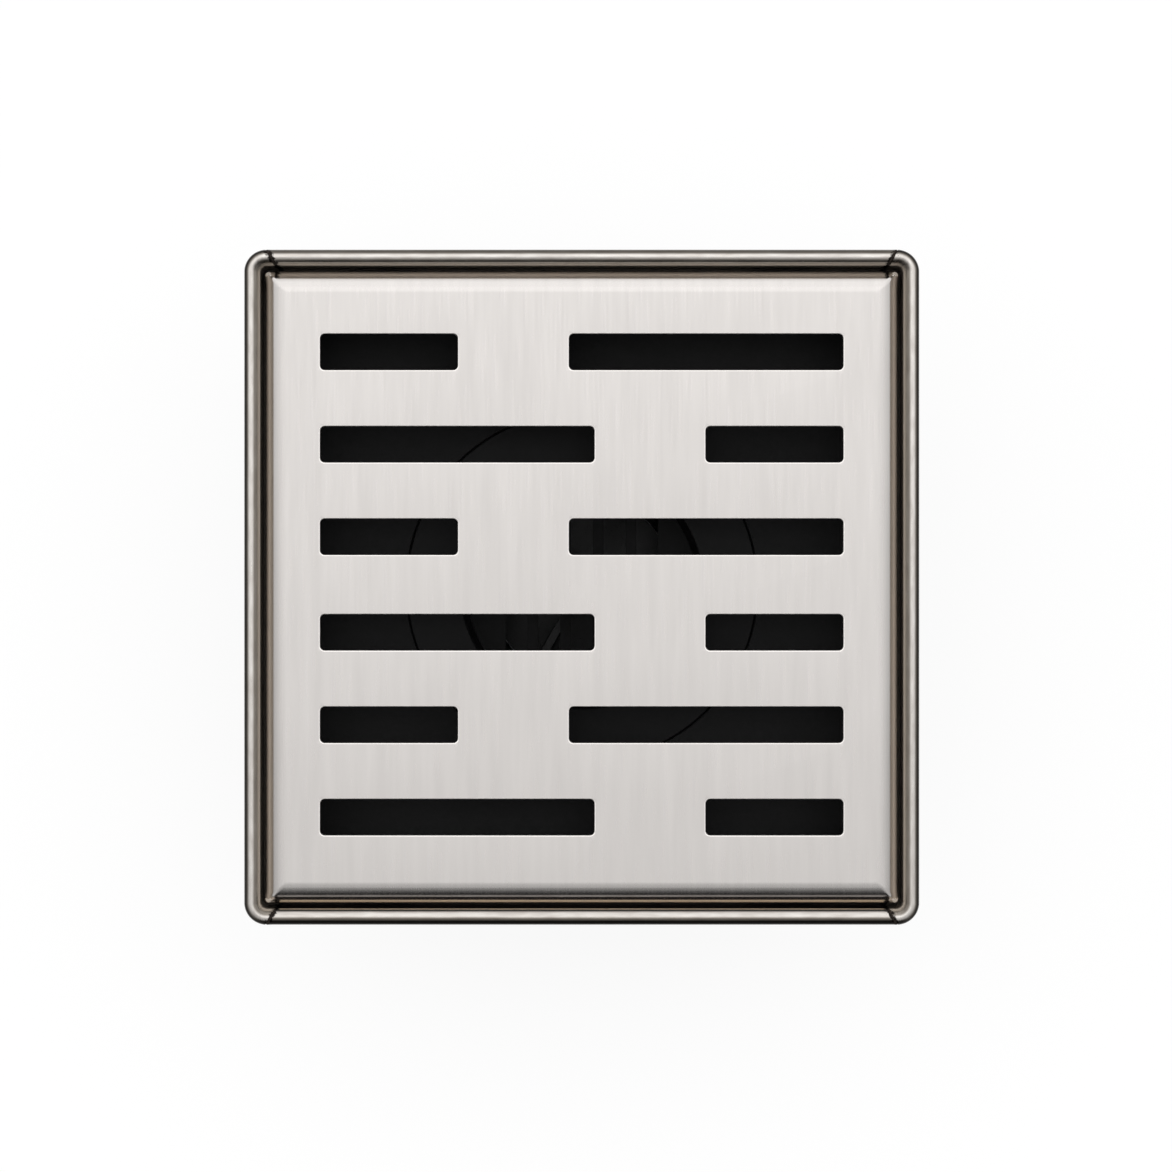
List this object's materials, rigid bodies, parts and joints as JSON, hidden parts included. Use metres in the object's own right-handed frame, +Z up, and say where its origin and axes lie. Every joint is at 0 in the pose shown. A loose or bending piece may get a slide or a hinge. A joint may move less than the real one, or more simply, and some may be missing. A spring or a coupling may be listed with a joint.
{
  "type": "floor drain grate",
  "caption": "Square floor drain top: slotted stainless grate that lifts out of a hemmed frame, on a plastic riser with hair strainer and sprung odour stop.",
  "frame": {"origin": "on the tread face, at the centre of the frame, at finished floor level", "axes": "+Z up out of the drain, +X along the slots, +Y across them towards the row whose short slot is on the -X side"},
  "size_m": [0.15, 0.15, 0.0718],
  "materials": {
    "grate_steel": "fine brushed along Y",
    "rim_steel": "polished along each rail, dull inside",
    "screw_steel": "bright cold-headed",
    "spring_steel": "drawn wire",
    "rubber": "moulded EPDM, matt",
    "riser_plastic": "moulded ABS, fine texture",
    "strainer_plastic": "moulded polypropylene, satin",
    "trap_plastic": "moulded ABS, satin",
    "silicone": "translucent moulded silicone"
  },
  "bodies": {
    "root": {"frame_rail_front": "rim_steel", "frame_rail_back": "rim_steel", "frame_rail_left": "rim_steel", "frame_rail_right": "rim_steel", "frame_gasket": "rubber", "frame_screw_1": "screw_steel", "frame_screw_2": "screw_steel", "frame_screw_3": "screw_steel", "frame_screw_4": "screw_steel", "riser": "riser_plastic", "spigot_seal": "rubber", "trap_housing": "trap_plastic", "trap_ring": "rubber", "trap_spring": "spring_steel"},
    "grate": {"grate_plate": "grate_steel", "grate_pad_1": "rubber", "grate_pad_2": "rubber", "grate_pad_3": "rubber", "grate_pad_4": "rubber"},
    "strainer": {"strainer_basket": "strainer_plastic"},
    "plunger": {"trap_plunger": "trap_plastic", "plunger_seal": "silicone", "stem_cap": "trap_plastic"}
  },
  "joints": [
    {"name": "grate_lift", "type": "slide", "parent": "root", "child": "grate", "axis": [0, 0, 1], "range_m": [0, 0.05]},
    {"name": "strainer_lift", "type": "slide", "parent": "root", "child": "strainer", "axis": [0, 0, 1], "range_m": [0, 0.018]},
    {"name": "plunger_drop", "type": "slide", "parent": "root", "child": "plunger", "axis": [0, 0, -1], "range_m": [0, 0.007], "stiffness_N_per_m": 60, "springref_m": -0.01, "deforming": ["trap_spring"]}
  ]
}
